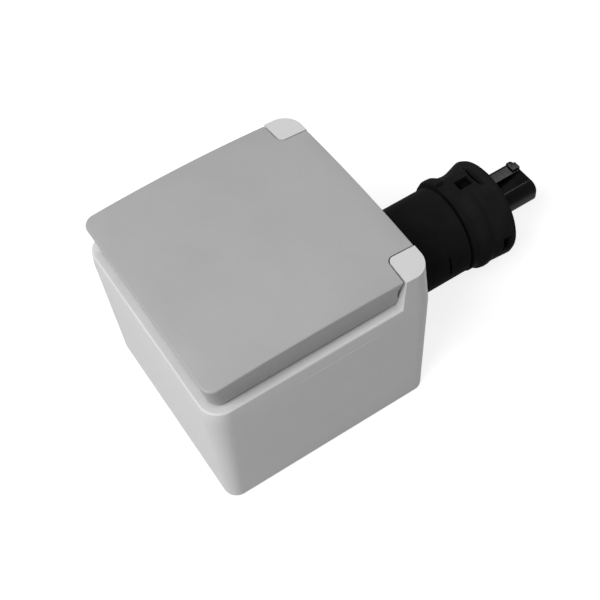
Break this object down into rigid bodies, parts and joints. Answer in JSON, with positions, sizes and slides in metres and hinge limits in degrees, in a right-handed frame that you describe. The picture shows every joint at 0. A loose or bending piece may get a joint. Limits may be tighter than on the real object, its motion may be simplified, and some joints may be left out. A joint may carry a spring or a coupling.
{
  "type": "outdoor surface socket",
  "caption": "Weatherproof surface-mounted socket with a sprung hinged lid over a round plug well and a round keyed connector on the hinge side.",
  "frame": {"origin": "centre of the flat back face that lies on the wall", "axes": "+Z out of the wall through the lid, +Y towards the hinge and along the connector, +X along the hinge"},
  "size_m": [0.0772, 0.1437, 0.0654],
  "materials": {
    "housing_plastic": "fine matte moulded light grey",
    "lid_plastic": "fine matte moulded mid grey",
    "cover_plastic": "fine matte moulded grey",
    "base_plastic": "plain matte moulded off-white",
    "seal_rubber": "soft black rubber",
    "pin_steel": "ground steel pin",
    "spring_steel": "drawn spring wire",
    "screw_steel": "zinc-plated steel",
    "contact_brass": "plain brass strip",
    "connector_plastic": "satin black moulded",
    "collar_plastic": "satin black moulded",
    "insert_plastic": "satin black moulded",
    "wire_brown": "brown insulated wire",
    "wire_blue": "blue insulated wire",
    "wire_green": "green insulated wire"
  },
  "bodies": {
    "box": {"housing": "housing_plastic", "hinge_pin": "pin_steel", "lid_spring": "spring_steel", "front_cover": "cover_plastic", "cover_gasket": "seal_rubber", "cover_screws": "screw_steel", "socket_base": "base_plastic", "base_screws": "screw_steel", "centre_screw": "screw_steel", "earth_clip": "contact_brass", "live_contact": "contact_brass", "neutral_contact": "contact_brass", "terminal_screws": "screw_steel", "fixing_seals": "seal_rubber", "connector_body": "connector_plastic", "connector_seal": "seal_rubber", "connector_locknut": "connector_plastic", "connector_collar": "collar_plastic", "contact_insert": "insert_plastic", "mating_seal": "seal_rubber", "connector_contacts": "contact_brass", "live_wire": "wire_brown", "neutral_wire": "wire_blue", "earth_wire": "wire_green"},
    "cap": {"lid": "lid_plastic", "lid_gasket": "seal_rubber"}
  },
  "joints": [
    {"name": "lid_hinge", "type": "hinge", "parent": "box", "child": "cap", "pos_m": [0, 0.034, 0.0585], "axis": [-1, 0, 0], "range_deg": [0, 105], "stiffness_Nm_per_rad": 0.02, "springref_deg": -45.84}
  ]
}
